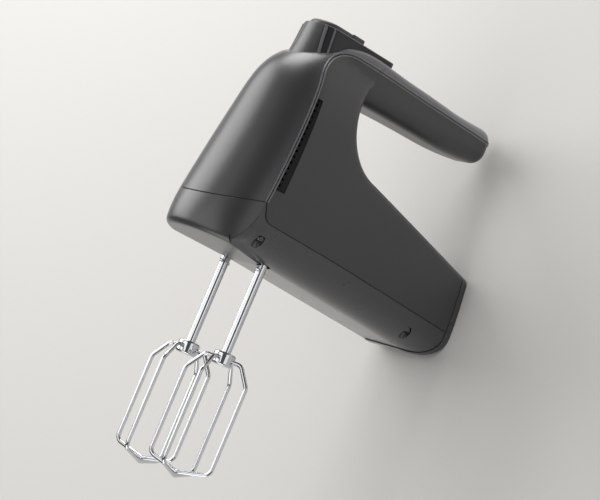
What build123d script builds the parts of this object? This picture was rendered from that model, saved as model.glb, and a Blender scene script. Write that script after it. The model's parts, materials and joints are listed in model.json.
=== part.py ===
"""Hand mixer with two wire beaters, as separate named pieces.

Working frame, in mm: x runs from the beater axes (x = 0) back to the heel, y is
across with the left side negative, and z is up from the flat base (z = 0).
The last step stands every piece on its heel, the way the mixer rests on a table.
"""
import os
from math import atan, cos, degrees, hypot, pi, radians, sin, tan

from build123d import *

# Fits
RUN_FIT = 0.05            # radial clearance of a shaft in its bush
PART_GAP = 0.4            # clearance between pieces that move past each other

# Drive train
BEATER_SPACING = 39.0     # between the two beater axes
MOTOR_Z = 33.0            # motor axis above the base
WORM_PITCH_R = 5.0
WORM_LENGTH = 16.0
WORM_STARTS = 2
GEAR_TEETH = 24
GEAR_WIDTH = 10.0
GEAR_ROOM = 1.5           # free space around the gears
MOTOR_SHAFT_R = 2.5
BUSH_WALL = 2.0
SPINDLE_R = 5.5
FRAME_WALL = 4.0          # walls of the gear frame
FRAME_FOOT = 3.6          # height of the feet under the gear frame

# Motor
FAN_R = 20.0
FAN_LENGTH = 7.0
FAN_BLADES = 11
STACK_LENGTH = 30.0
STATOR_WIDTH = 54.0
STATOR_HEIGHT = 56.0
YOKE = 6.0                # iron around the coil window
POLE_WIDTH = 14.0
POLE_SHOE = 2.2
ARMATURE_R = 14.7
AIR_GAP = 0.6
ARMATURE_SLOTS = 12
COIL_HEIGHT = 3.8
COIL_WIDTH = 5.0
COMMUTATOR_R = 8.0
COMMUTATOR_LENGTH = 12.0
BRUSH_WIDTH = 6.0
BRUSH_HEIGHT = 5.0
BRUSH_LENGTH = 8.0
SPRING_LENGTH = 4.0       # brush springs
BRUSH_CASE = 1.5          # walls of the brush holders
BOLT_R = 1.6

# Beaters
SHAFT_R = 3.0
SHAFT_INSERT = 28.0       # how far a shaft reaches up into its spindle
KEY_WIDTH = 1.6
KEY_RISE = 1.2
EAR_SPAN = 10.6
EAR_DEPTH = 3.0           # ears below the base
EAR_THICK = 2.0
HUB_R = 7.2
HUB_HEIGHT = 8.5
HUB_DEPTH = 62.0          # middle of the hub below the base
WIRE_R = 1.35
CAGE_R = 22.0             # wire centres from the beater axis
SHOULDER_R = 13.0         # where the top arm of a loop turns down
SHOULDER_DROP = 12.0
CAGE_BOTTOM = 139.0       # lowest wire centre below the base
CAGE_DISH = 5.0           # rise of the bottom arms towards the corners
BEND_R = 5.0
LEFT_TURN = 27.0          # angle of the loops about the axis, degrees
RIGHT_TURN = 23.0

# Housing
WALL = 2.4
SEAM_WIDTH = 0.6
SEAM_DEPTH = 0.9
GROOVE_WIDTH = 1.5        # the wide groove in front of the side shells
HEEL_X = 150.5            # beater plane to the heel face
HEEL_CAP = 5.0
HEEL_CORNER_R = 18.0
BASE_TILT = 2.9           # fall of the base towards the heel, degrees
NOSE_REACH = 58.0         # beater plane to the nose tip
NOSE_ROOT = 22.0          # beater plane to where the nose meets the straight sides
BASE_EDGE_R = 20.0
NOSE_EDGE_R = 4.5
BELLY_Z = 26.0            # height of the widest section
WAIST_Z = 53.0
CHEST_Z = 77.0
SHOULDER_Z = 112.0
SEAM_FOOT_X = -29.5       # where nose shell, nose cap and side shell meet
SEAM_FOOT_Z = 34.0
SEAM_TOP_X = -16.5        # top of the groove before it bends over the arch
GAP_FRONT_X = 19.0        # front of the hand gap
GAP_Z = 110.0
GAP_R = 33.0
GAP_EDGE_R = 6.0
BACK_SLOPE = 13.0         # fall of the body behind the hand gap, degrees
BASE_STEP = 0.5           # the base shell lies this far inside the side shells
CREST_X = 0.2             # where the crest under the console starts to fall
CREST_R = 54.0
CREST_FOOT_X = -24.3      # where the crest runs out into the dome
CREST_FOOT_Z = 133.0
CREST_FALL = 17.0         # slope in front of that, degrees

# Handle and controls
HANDLE_TOP = 151.5
HANDLE_DROP = 2.6         # fall of the top line to the tip
HANDLE_DEPTH = 28.0
HANDLE_HALF_WIDTH = 17.0
HANDLE_TIP_X = 139.0
HANDLE_TIP_R = 8.0
ARCH_R = 26.0             # bend of the groove over the arch
PANEL_CORNER_R = 7.0
BAND = 6.1                # side band below the top line of the handle
COVER_X = -12.0           # front end of the top cover
CONSOLE_TOP = 154.5
CONSOLE_HALF_WIDTH = 15.8
CONSOLE_FRONT_X = -25.2
CONSOLE_REAR_X = 41.0
RIDGE_X = -21.5           # first ridge, where the neck ends
RIDGE_PITCH = 4.8
RIDGE_RISE = 0.6
BUTTON_REAR_X = -0.5
BUTTON_RISE = 3.6
BUTTON_SKIRT = 7.0
BUTTON_TRAVEL = 4.5
STEM_LENGTH = 5.0
STEM_HALF_WIDTH = 5.0
YOKE_BAR = 4.0
PIN_HEAD = 2.0            # thickness of a push pin's head
EJECT_SPRING = 14.0       # length of the eject spring
SPRING_R = 5.0
SPRING_WIRE_R = 0.45
SPRING_TURNS = 5
SLIDER_X = 10.5
SLIDER_LENGTH = 11.0
SLIDER_WIDTH = 13.0
SLIDER_HEIGHT = 5.4
SLIDER_TRAVEL = 22.0
SLIDER_STEM = 6.0
SLIDER_FLANGE = 10.0
SLIDER_TOE = 2.0          # reach of the slider's stem into the switch
SWITCH_HEIGHT = 10.0
SWITCH_HALF_WIDTH = 9.5
SWITCH_DROP = 7.0         # switch below the console's top wall
VENT_LOW_Z = 43.0
VENT_HIGH_Z = 107.0
VENT_WIDTH_LOW = 6.4
VENT_WIDTH_HIGH = 4.0
VENT_DEPTH = 3.0
VENT_WALL = 1.8
VENT_SLITS = 15
SCREW_HEAD_R = 2.7
SCREW_SHANK_R = 1.5
POCKET_R = 3.2
POCKET_DEPTH = 13.0
SCREW_LENGTH = 12.0
POST_R = 3.6
FRONT_SCREW = (-21.7, 34.6)
REAR_SCREW = (116.8, 31.8)
INLET_BORE_R = 3.6
INLET_R = 6.0
INLET_X = 136.0

# Values that follow from the sizes above
axis_y = BEATER_SPACING / 2
gear_pitch_r = axis_y - WORM_PITCH_R
module = 2 * gear_pitch_r / GEAR_TEETH
pitch = pi * module
worm_lead = pitch * WORM_STARTS
addendum = 0.85 * module
dedendum = 1.1 * module
gear_tip_r = gear_pitch_r + addendum
helix = atan(worm_lead / (2 * pi * WORM_PITCH_R))
frame_x = gear_tip_r + GEAR_ROOM
frame_end_x = frame_x + FRAME_WALL
frame_low_z = WALL + FRAME_FOOT
frame_mid_z = frame_low_z + FRAME_WALL
frame_high_z = MOTOR_Z + GEAR_WIDTH / 2 + FRAME_WALL
frame_top_z = frame_high_z + FRAME_WALL
bush_r = MOTOR_SHAFT_R + RUN_FIT + BUSH_WALL
spindle_bush_r = SPINDLE_R + RUN_FIT + BUSH_WALL
spindle_low_z = WALL + 2 * PART_GAP
spindle_top_z = frame_top_z + PART_GAP
pin_r = SHAFT_R
pin_low_z = SHAFT_INSERT + PART_GAP / 2
yoke_z = frame_top_z + EJECT_SPRING
pin_top_z = yoke_z - PART_GAP
fan_x = frame_end_x + GEAR_ROOM
stack_x = fan_x + FAN_LENGTH + COIL_WIDTH + GEAR_ROOM
stack_end_x = stack_x + STACK_LENGTH
commutator_x = stack_end_x + COIL_WIDTH + GEAR_ROOM
brush_x = commutator_x + COMMUTATOR_LENGTH / 2
bracket_x = commutator_x + COMMUTATOR_LENGTH + FRAME_WALL
bracket_end_x = bracket_x + FRAME_WALL
bolt_y = STATOR_WIDTH / 2 - YOKE / 2
bore_r = ARMATURE_R + AIR_GAP
holder_y = COMMUTATOR_R + BRUSH_LENGTH + SPRING_LENGTH
switch_z = CONSOLE_TOP - WALL - SWITCH_DROP
slider_low_z = switch_z - SLIDER_TOE
half_width = axis_y + gear_tip_r + GEAR_ROOM + WALL
reach = 2 * (HEEL_X + NOSE_REACH)
front_x = -2 * NOSE_REACH
tilt = radians(BASE_TILT)
slope = radians(BACK_SLOPE)
gap_x = GAP_FRONT_X + GAP_R
slope_foot = (gap_x - GAP_R * sin(slope), GAP_Z - GAP_R * cos(slope))
heel_corner_x = HEEL_X - HEEL_CORNER_R
heel_low_z = HEEL_CORNER_R / cos(tilt) - heel_corner_x * tan(tilt)
heel_high_z = slope_foot[1] - (HEEL_X - slope_foot[0]) * tan(slope)
heel_middle_z = (heel_low_z + heel_high_z) / 2
seam_foot = (SEAM_FOOT_X, SEAM_FOOT_Z)
seam_corner = (SEAM_TOP_X, HANDLE_TOP - BAND)

# Plan sections of the body: height, narrowing of each side, set-back of the nose
# tip, set-back of the nose root, and narrowing towards the heel
body_rows = [
    (-BELLY_Z, 0.0, 0.0, 0.0, 3.0),
    (0.0, 0.0, 0.8, 0.0, 4.0),
    (BELLY_Z, 0.0, 0.0, 0.0, 5.0),
    (WAIST_Z, 0.6, 4.8, 2.8, 9.0),
    (CHEST_Z, 2.6, 9.0, 5.0, 11.5),
    (SHOULDER_Z, 8.8, 15.3, 7.0, 13.0),
    (HANDLE_TOP - 23, 14.6, 24.0, 9.8, 13.0),
    (HANDLE_TOP - 14, 18.4, 34.5, 15.5, 13.0),
    (HANDLE_TOP + 4, 21.8, 49.5, 27.5, 13.0),
]

# Plan sections of the neck and console: depth below the console top, widening of
# each side, reach of the front and set-back of the rear end
console_rows = [
    (37.0, 4.5, 6.0, 33.0),
    (25.0, 2.6, 3.6, 26.0),
    (16.0, 1.2, 1.8, 11.0),
    (0.0, 0.0, 0.0, 0.0),
]

# Cross-sections of the handle: place along it, widening, fall of the top, lowering of
# the underside, and corner radii at the top and at the bottom
handle_rows = [
    (CREST_X - 8, 0.0, 7.2, 3.0, 3.0, 7.0),
    (CREST_X + 4, 2.0, 2.0, 3.0, 3.0, 8.0),
    (GAP_FRONT_X, 3.0, 0.0, 2.4, 3.2, 9.5),
    (GAP_FRONT_X + 15, 2.8, 0.0, 1.5, 3.6, 10.5),
    (GAP_FRONT_X + 42, 1.2, 0.0, 0.0, 5.0, 10.8),
    (HANDLE_TIP_X - 53, 0.4, 0.0, -1.0, 6.0, 10.8),
    (HANDLE_TIP_X - 28, 0.0, 0.0, -2.5, 7.0, 10.6),
    (HANDLE_TIP_X, -1.5, 0.0, -6.5, 9.0, 9.5),
]


def handle_top(x):
    """Height of the handle's top line at x."""
    run = max(0.0, x - GAP_FRONT_X) / (HANDLE_TIP_X - GAP_FRONT_X)
    return HANDLE_TOP - HANDLE_DROP * run


def across(face):
    """A side-view face pushed right through the model."""
    return extrude(Plane.XZ * face, amount=reach, both=True)


def post(radius, low, high, x=0.0, y=0.0):
    """Upright cylinder."""
    return Pos(x, y, (low + high) / 2) * Cylinder(radius, high - low)


def rod(radius, start, end, y=0.0):
    """Cylinder along the motor axis."""
    return Pos((start + end) / 2, y, MOTOR_Z) * Rot(0, 90, 0) * Cylinder(radius, end - start)


def block(x, y, z):
    """Box between pairs of limits."""
    size = [high - low for low, high in (x, y, z)]
    return Pos(*[(low + high) / 2 for low, high in (x, y, z)]) * Box(*size)


def mirrored(part):
    """The same piece for the other side."""
    return mirror(part, about=Plane.XZ)


def spring(length, radius, wire_r, turns):
    """Coil spring along z, of straight lengths of wire."""
    points = []
    steps = 10 * turns
    for step in range(steps + 1):
        angle = 2 * pi * step / 10
        rise = wire_r + (length - 2 * wire_r) * step / steps
        points.append((radius * cos(angle), radius * sin(angle), rise))
    path = Polyline(*points)
    section = Plane(path @ 0, z_dir=path % 0) * RegularPolygon(wire_r, 6)
    return sweep(section, path=path, transition=Transition.RIGHT)


# Outer forms. Each takes an inset, so that walls and grooves follow the same shape.


def body_section(row, inset):
    height, narrow, tip_back, root_back, heel_narrow = row
    root = root_back - NOSE_ROOT
    length = root - (tip_back - NOSE_REACH) - inset
    half = half_width - narrow - inset
    rear = HEEL_X + HEEL_CORNER_R
    nose = EllipticalCenterArc((root, 0), length, half, start_angle=90, arc_size=180)
    left = TangentArc((root, -half), (rear, heel_narrow - half), tangent=(1, 0))
    right = TangentArc((root, half), (rear, half - heel_narrow), tangent=(1, 0))
    end = Line(left @ 1, right @ 1)
    return Plane.XY.offset(height) * make_face([nose, left, end, right])


def side_outline():
    """Side view of the body without the handle, open towards the nose."""
    corner_x = heel_corner_x - HEEL_CORNER_R * sin(tilt)
    corner_z = heel_low_z - HEEL_CORNER_R * cos(tilt)
    rise = radians(55)
    shoulder = (gap_x - GAP_R * cos(rise), GAP_Z + GAP_R * sin(rise))
    front_top = CREST_FOOT_Z + (front_x - CREST_FOOT_X) * tan(radians(CREST_FALL))
    crest = FilletPolyline(
        (shoulder[0], HANDLE_TOP),
        (CREST_X, HANDLE_TOP),
        (CREST_FOOT_X, CREST_FOOT_Z),
        (front_x, front_top),
        radius=CREST_R,
    )
    return make_face([
        Line((front_x, -BELLY_Z), (corner_x, -BELLY_Z)),
        Line((corner_x, -BELLY_Z), (corner_x, corner_z)),
        RadiusArc((corner_x, corner_z), (HEEL_X, heel_low_z), -HEEL_CORNER_R),
        Line((HEEL_X, heel_low_z), (HEEL_X, heel_high_z)),
        Line((HEEL_X, heel_high_z), slope_foot),
        ThreePointArc(slope_foot, (GAP_FRONT_X, GAP_Z), shoulder),
        Line(shoulder, (shoulder[0], HANDLE_TOP)),
        *crest.edges(),
        Line((front_x, front_top), (front_x, -BELLY_Z)),
    ])


def body_form(inset=0.0, edge_r=BASE_EDGE_R):
    """The motor body and front column, with rounded base edges and gap rim."""
    tower = loft([body_section(row, inset) for row in body_rows])
    tower &= Rot(0, BASE_TILT, 0) * block((-reach, reach), (-reach, reach), (inset, reach))
    floor = tower.faces().sort_by(Axis.Z)[0]
    tower = fillet(floor.edges().sort_by(Axis.X)[:-1], edge_r - inset)
    outline = side_outline()
    if inset > 0:
        outline = offset(outline, -inset)
    form = tower & across(outline)
    rim = []
    for edge in form.edges():
        middle = edge @ 0.5
        size = edge.bounding_box().size
        from_gap = hypot(middle.X - gap_x, middle.Z - GAP_Z)
        on_gap = abs(from_gap - GAP_R - inset) < RUN_FIT
        on_slope = size.X > GAP_R and WALL < size.Z < GAP_R and middle.Z > heel_high_z
        if abs(middle.Y) > axis_y / 2 and (on_gap or on_slope):
            rim.append(edge)
    return fillet(rim, GAP_EDGE_R - inset)


def handle_form(inset=0.0):
    """The handle, a loft that grows out of the front column."""
    sections = []
    for x, widen, fall, lower, top_r, low_r in handle_rows:
        x = min(x, HANDLE_TIP_X - inset)
        top = handle_top(x) - fall - inset
        low = handle_top(x) - HANDLE_DEPTH - lower + inset
        width = 2 * (HANDLE_HALF_WIDTH + widen - inset)
        face = Pos(0, (top + low) / 2) * Rectangle(width, top - low)
        face = fillet(face.vertices().sort_by(Axis.Y)[2:], top_r - inset)
        face = fillet(face.vertices().sort_by(Axis.Y)[:2], low_r - inset)
        sections.append(Plane.YZ.offset(x) * face)
    form = loft(sections)
    tip = form.faces().sort_by(Axis.X)[-1]
    return fillet(tip.edges(), HANDLE_TIP_R - inset)


def console_section(row, inset):
    depth, widen, ahead, back = row
    half = CONSOLE_HALF_WIDTH + widen - inset
    front = CONSOLE_FRONT_X - ahead + inset
    rear = CONSOLE_REAR_X - back - inset
    nose_x = front + half * 0.9
    tail_x = rear - half * 0.45
    nose = EllipticalCenterArc((nose_x, 0), nose_x - front, half, start_angle=90, arc_size=180)
    tail = EllipticalCenterArc((tail_x, 0), rear - tail_x, half, start_angle=270, arc_size=180)
    outline = [nose, Line(nose @ 1, tail @ 0), tail, Line(tail @ 1, nose @ 0)]
    return Plane.XY.offset(CONSOLE_TOP - depth) * make_face(outline)


def console_form(inset=0.0):
    """Neck and console, one tapering block whose foot is inside the body."""
    form = loft([console_section(row, inset) for row in console_rows])
    if inset > 0:
        form &= block((-reach, reach), (-reach, reach), (0, CONSOLE_TOP - inset))
    return form


# Side-view lines that part the shells


def nose_seam(x):
    """Height of the seam between nose shell and nose cap."""
    return SEAM_FOOT_Z + (x - SEAM_FOOT_X) * 0.32


def groove_path():
    """Front edge of the side shells, over the arch and along the handle."""
    end = (end_x, handle_top(end_x) - BAND)
    return FilletPolyline(seam_foot, seam_corner, end, radius=ARCH_R)


def cap_path():
    """Rounded lower rear corner of the nose cap."""
    middle = (SEAM_FOOT_X - 4.5, SEAM_FOOT_Z * 0.45)
    return ThreePointArc(seam_foot, middle, (SEAM_FOOT_X - 17.0, -WALL))


def panel_path():
    """Lower border of the side shells."""
    return FilletPolyline(
        seam_foot,
        (SEAM_FOOT_X + 4.0, SEAM_FOOT_Z - 11.5),
        (HEEL_X / 4, SEAM_FOOT_Z - 13.5),
        (HEEL_X + HEEL_CAP, SEAM_FOOT_Z - 19.5),
        radius=PANEL_CORNER_R,
    )


def heel_path():
    """Front border of the heel cap, which runs out under the rounded corner."""
    x = HEEL_X - HEEL_CAP
    low = (x, heel_low_z - HEEL_CORNER_R + HEEL_CAP / 2)
    tail = (heel_corner_x - HEEL_CORNER_R, -HEEL_X * tan(tilt))
    return FilletPolyline((x, reach), low, tail, radius=HEEL_CORNER_R - HEEL_CAP / 2)


def region(path, *corners):
    """Area between a path and some corner points, pushed through the model."""
    return across(make_face(path.edges() + Polyline(path @ 1, *corners, path @ 0).edges()))


end_x = HANDLE_TIP_X + HANDLE_DEPTH
front_z = nose_seam(front_x)
front_region = region(groove_path(), (end_x, reach), (front_x, reach), (front_x, front_z))
cap_region = region(cap_path(), (front_x, -WALL), (front_x, front_z))
base_region = region(
    panel_path(), (HEEL_X + HEEL_CAP, -reach), (front_x, -reach), (front_x, front_z)
)
heel_region = region(heel_path(), (heel_corner_x, -reach), (reach, -reach), (reach, reach))
cover_region = block((COVER_X, reach), (-reach, reach), (0, reach))
console_region = block((RIDGE_X, reach), (-reach, reach), (0, reach))
handle_region = block((GAP_FRONT_X + GAP_EDGE_R, reach), (-reach, reach), (GAP_Z, reach))
left_region = block((-reach, reach), (-reach, 0), (-reach, reach))

# The nose cap also takes the floor in front of the beater holes
cap_corner = (SEAM_FOOT_X - 14.0, half_width * 0.86)
cap_line = Polyline((cap_corner[0], -cap_corner[1]), (0, -axis_y), (0, axis_y), cap_corner)
cap_floor = Polyline(cap_line @ 1, (front_x, half_width), (front_x, -half_width), cap_line @ 0)
cap_floor = make_face(cap_line.edges() + cap_floor.edges())
cap_region += Pos(0, 0, -WALL) * extrude(cap_floor, amount=3 * WALL)

# Housing shells
body = body_form()
outer = body + handle_form()
body_cavity = body_form(WALL)
cavity = body_cavity + handle_form(WALL) + console_form(WALL)
skin = body_form(SEAM_DEPTH) + handle_form(SEAM_DEPTH)


def groove(path, width=SEAM_WIDTH):
    """Shallow groove along a side-view path."""
    return across(trace(path, width)) - skin


arch_groove = groove(groove_path(), GROOVE_WIDTH)
nose_groove = groove(Line((front_x, front_z), seam_foot))
cap_groove = groove(cap_path())
panel_groove = groove(panel_path())
heel_groove = groove(heel_path())
floor_groove = extrude(trace(cap_line, SEAM_WIDTH), amount=BELLY_Z / 4, both=True) - skin

wall = outer - cavity
console_wall = console_form() - console_form(WALL) - outer
front = wall & front_region
nose_shell = (front - cover_region) + (console_wall - console_region)
nose_shell = nose_shell - arch_groove - nose_groove
handle_top_cover = (front & cover_region) - arch_groove
control_console = console_wall & console_region
cap_wall = body_form(edge_r=NOSE_EDGE_R) - body_form(WALL, NOSE_EDGE_R)
nose_cap = (cap_wall & cap_region) - nose_groove - floor_groove
base_form = body_form(BASE_STEP)
base_shell = ((base_form - body_cavity) & base_region) - cap_region - heel_region
base_shell = base_shell - cap_groove - panel_groove - floor_groove
heel_cap = (body & heel_region) - heel_groove
left_housing = (wall & left_region) - front_region - base_region - cap_region - heel_region
left_housing = left_housing - arch_groove - panel_groove - heel_groove

# Ridges on the sides of the console
ridge_band = console_form(-RIDGE_RISE) - console_form() - outer
for x in (RIDGE_X, RIDGE_X + RIDGE_PITCH):
    ridge = block((x, x + 2 * RIDGE_RISE), (-reach, reach), (0, CONSOLE_TOP - WALL / 2))
    control_console += ridge_band & ridge

# Control openings: button well and slider slot
well = extrude(console_section((0, 0, 0, 0), WALL), amount=-2 * WALL)
well &= block((-reach, BUTTON_REAR_X + PART_GAP), (-reach, reach), (0, reach))
slot_x = (SLIDER_X - SLIDER_STEM / 2 - PART_GAP,
          SLIDER_X + SLIDER_TRAVEL + SLIDER_STEM / 2 + PART_GAP)
slot_y = SLIDER_STEM / 2 + PART_GAP
slot = block(slot_x, (-slot_y, slot_y), (CONSOLE_TOP - 2 * WALL, CONSOLE_TOP + WALL))
nose_shell = (nose_shell - well).solids().sort_by(SortBy.VOLUME)[-1]
control_console -= well + slot
switch_post_x = SLIDER_X + SLIDER_TRAVEL / 2
switch_post_y = SLIDER_FLANGE / 2 + PART_GAP + BUSH_WALL
for y in (-switch_post_y, switch_post_y):
    control_console += post(BUSH_WALL, switch_z, CONSOLE_TOP - WALL, switch_post_x, y)

# Vents: tapered louvres that follow the side surface behind the groove


def side_y(x, z):
    """The left side surface at a point of the side view."""
    hits = body.find_intersection_points(Axis((x, -reach, z), (0, 1, 0)))
    return hits[0][0].Y


def vent_section(z, width, depths):
    """One section of a vent, with depths at its front and rear edges."""
    run = (z - SEAM_FOOT_Z) / (seam_corner[1] - SEAM_FOOT_Z)
    x = SEAM_FOOT_X + run * (SEAM_TOP_X - SEAM_FOOT_X) + GROOVE_WIDTH
    front_y = side_y(x, z)
    rear_y = side_y(x + width, z)
    (front_out, front_in), (rear_out, rear_in) = depths
    return Plane.XY.offset(z) * make_face(Polyline(
        (x, front_y + front_out), (x + width, rear_y + rear_out),
        (x + width, rear_y + rear_in), (x, front_y + front_in), close=True,
    ))


vent_rows = []
for step in range(5):
    share = step / 4
    height = VENT_LOW_Z + share * (VENT_HIGH_Z - VENT_LOW_Z)
    vent_rows.append((height, VENT_WIDTH_LOW + share * (VENT_WIDTH_HIGH - VENT_WIDTH_LOW)))
vent_hole = ((-WALL, 2 * WALL), (-WALL, 2 * WALL))
vent_body = ((VENT_DEPTH, VENT_DEPTH + VENT_WALL), (SEAM_DEPTH / 2, SEAM_DEPTH / 2 + VENT_WALL))
vent_cut = loft([vent_section(*row, vent_hole) for row in vent_rows], ruled=True)
left_vent = loft([vent_section(*row, vent_body) for row in vent_rows], ruled=True)
slit_pitch = (VENT_HIGH_Z - VENT_LOW_Z) / (VENT_SLITS + 1)
for count in range(VENT_SLITS):
    height = VENT_LOW_Z + (count + 1) * slit_pitch
    x, y = [vent_section(height, VENT_WIDTH_HIGH, vent_body).vertices()[0].X, side_y(0, height)]
    slit = block((x + WIRE_R, x + VENT_WIDTH_HIGH - WIRE_R), (y - WALL, y + 4 * WALL),
                 (height - slit_pitch / 5, height + slit_pitch / 5))
    left_vent -= slit
left_housing -= vent_cut

# Cord inlet, a grommet held between the two housings on the slope near the heel
inlet_z = slope_foot[1] - (INLET_X - slope_foot[0]) * tan(slope)
inlet_at = Pos(INLET_X, 0, inlet_z) * Rot(0, BACK_SLOPE, 0)
left_housing -= inlet_at * Cylinder(INLET_R, 4 * WALL)
flange = Pos(0, 0, -WALL - BUSH_WALL / 2) * Cylinder(INLET_R + BUSH_WALL, BUSH_WALL)
sleeve = Pos(0, 0, -WALL) * Cylinder(INLET_R, 2 * WALL)
cord_inlet = inlet_at * (sleeve + flange - Cylinder(INLET_BORE_R, 6 * WALL))

# Screw pockets in the base, and the posts in the housings that the screws hold


def floor_z(x):
    """Height of the outside of the base at x."""
    return -x * tan(tilt)


case_screws = []
for x, y in (FRONT_SCREW, REAR_SCREW):
    seat = floor_z(x) + POCKET_DEPTH
    pocket = post(POCKET_R, floor_z(x) - POCKET_DEPTH, seat, x, -y)
    shank = post(SCREW_SHANK_R, seat, seat + SCREW_LENGTH, x, -y)
    boss = post(POCKET_R + WALL, floor_z(x), seat + WALL, x, -y) & base_form
    boss = boss - cap_region - pocket
    nose_cap = nose_cap - pocket - mirrored(pocket)
    base_shell = base_shell - pocket - mirrored(pocket) + boss + mirrored(boss)
    base_shell = base_shell - shank - mirrored(shank)
    top = seat + SCREW_LENGTH + WALL
    stay = post(POST_R, seat + WALL, top, x, -y)
    stay += block((x - WALL / 2, x + WALL / 2), (-half_width, -y), (seat + 2 * WALL, top))
    stay &= body_cavity
    left_housing += stay - shank
    screw = shank + post(SCREW_HEAD_R, seat - 2 * SCREW_SHANK_R, seat, x, -y)
    case_screws += [screw, mirrored(screw)]

# Each half of the handle is a piece of its own, joined to its side shell
left_handle = left_housing & handle_region
left_housing -= handle_region

# Holes for the beaters, with room for the ends of the spindles
for y in (-axis_y, axis_y):
    hole = post(SHAFT_R + KEY_RISE + PART_GAP, -BELLY_Z, frame_low_z - PART_GAP, 0, y)
    hole += post(SPINDLE_R + PART_GAP, spindle_low_z - PART_GAP, frame_low_z - PART_GAP, 0, y)
    nose_cap -= hole
    base_shell -= hole

# Eject button, yoke and pins
button_plan = console_section((0, 0, 0, 0), WALL + PART_GAP)
button_low = CONSOLE_TOP - BUTTON_SKIRT
eject_button = extrude(Pos(0, 0, BUTTON_RISE) * button_plan, amount=-BUTTON_RISE - BUTTON_SKIRT)
eject_button &= block((-reach, BUTTON_REAR_X), (-reach, reach), (0, reach))
eject_button = fillet(eject_button.faces().sort_by(Axis.Z)[-1].edges(), BUTTON_RISE / 2)
stem_x = (CONSOLE_FRONT_X + BUTTON_REAR_X) / 2
eject_yoke = block((stem_x - STEM_LENGTH / 2, stem_x + STEM_LENGTH / 2),
                   (-STEM_HALF_WIDTH, STEM_HALF_WIDTH), (yoke_z, button_low))
eject_yoke += block((stem_x - STEM_LENGTH / 2, SPINDLE_R),
                    (-axis_y - SHAFT_R, axis_y + SHAFT_R), (yoke_z, yoke_z + YOKE_BAR))
eject_spring = Pos(0, 0, frame_top_z) * spring(EJECT_SPRING, SPRING_R, SPRING_WIRE_R, SPRING_TURNS)
push_pin = post(pin_r, pin_low_z, pin_top_z) + post(SPINDLE_R - 1, pin_top_z - PIN_HEAD, pin_top_z)

# Slider and switch
slider_y = SLIDER_WIDTH / 2
knob = block((SLIDER_X - SLIDER_LENGTH / 2, SLIDER_X + SLIDER_LENGTH / 2), (-slider_y, slider_y),
             (CONSOLE_TOP + PART_GAP, CONSOLE_TOP + PART_GAP + SLIDER_HEIGHT))
knob = fillet(knob.edges().filter_by(Axis.Z), SLIDER_HEIGHT / 3)
knob = fillet(knob.faces().sort_by(Axis.Z)[-1].edges(), SLIDER_HEIGHT / 5)
speed_slider = knob + block((SLIDER_X - SLIDER_STEM / 2, SLIDER_X + SLIDER_STEM / 2),
                            (-SLIDER_STEM / 2, SLIDER_STEM / 2), (slider_low_z, CONSOLE_TOP + 1))
flange_top = CONSOLE_TOP - WALL - PART_GAP
speed_slider += block((SLIDER_X - SLIDER_FLANGE / 2, SLIDER_X + SLIDER_FLANGE / 2),
                      (-SLIDER_FLANGE / 2, SLIDER_FLANGE / 2), (flange_top - BUSH_WALL, flange_top))
switch_x = (slot_x[0] - WALL, slot_x[1] + WALL)
speed_switch = block(switch_x, (-SWITCH_HALF_WIDTH, SWITCH_HALF_WIDTH),
                     (switch_z - SWITCH_HEIGHT, switch_z))
speed_switch -= block(slot_x, (-slot_y, slot_y), (slider_low_z - PART_GAP, switch_z + 1))

# Gearbox


def gear_section():
    """Outline of the gear with straight-flanked teeth."""
    points = []
    for tooth in range(GEAR_TEETH):
        middle = 2 * pi * tooth / GEAR_TEETH
        for radius, side in ((-dedendum, -1), (addendum, -1), (addendum, 1), (-dedendum, 1)):
            half = (0.2 * pitch - radius * tan(radians(20))) / gear_pitch_r
            angle = middle + side * half
            points.append(((gear_pitch_r + radius) * cos(angle), (gear_pitch_r + radius) * sin(angle)))
    return make_face(Polyline(*points, close=True))


def worm_section():
    """Section across the worm, one lobe for each start."""
    corners = []
    for start in range(WORM_STARTS):
        middle = 2 * pi * start / WORM_STARTS
        for radius, side in ((-dedendum, -1), (addendum, -1), (addendum, 1), (-dedendum, 1)):
            half = (0.17 * pitch - radius * tan(radians(20))) * 2 * pi / worm_lead
            corners.append((WORM_PITCH_R + radius, middle + side * half))
    outline = []
    for count, (radius, angle) in enumerate(corners):
        next_radius, next_angle = corners[(count + 1) % len(corners)]
        if count == len(corners) - 1:
            next_angle += 2 * pi
        start = (radius * cos(angle), radius * sin(angle))
        end = (next_radius * cos(next_angle), next_radius * sin(next_angle))
        if radius == next_radius:
            middle = (angle + next_angle) / 2
            outline.append(ThreePointArc(start, (radius * cos(middle), radius * sin(middle)), end))
        else:
            outline.append(Line(start, end))
    return make_face(outline)


def twisted(face, length, turn):
    """A section pushed up and turned evenly, untwisted at its middle."""
    solid = Solid.extrude_linear_with_rotation(face.face(), (0, 0, 0), (0, 0, length), turn)
    return Rot(0, 0, -turn / 2) * Pos(0, 0, -length / 2) * solid


gear_turn = degrees(GEAR_WIDTH * tan(helix) / gear_pitch_r)
gear = Pos(0, 0, MOTOR_Z) * Rot(0, 0, 180 / GEAR_TEETH) * twisted(gear_section(), GEAR_WIDTH, gear_turn)
gear += post(SPINDLE_R + FRAME_WALL, frame_mid_z + PART_GAP, frame_high_z - PART_GAP)
gear -= post(SPINDLE_R, 0, reach)
spindle = post(SPINDLE_R, spindle_low_z, spindle_top_z) - post(SHAFT_R + RUN_FIT, -reach, reach)
key_reach = SHAFT_R + KEY_RISE
key_low = frame_low_z
key_high = SHAFT_INSERT - FRAME_WALL
spindle -= block((-key_reach - PART_GAP / 2, key_reach + PART_GAP / 2),
                 (-KEY_WIDTH / 2 - PART_GAP / 4, KEY_WIDTH / 2 + PART_GAP / 4),
                 (0, key_high + PART_GAP))
worm = Pos(0, 0, MOTOR_Z) * Rot(0, 90, 0) * Rot(0, 0, 90)
worm *= twisted(worm_section(), WORM_LENGTH, 360 * WORM_LENGTH / worm_lead)
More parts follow.
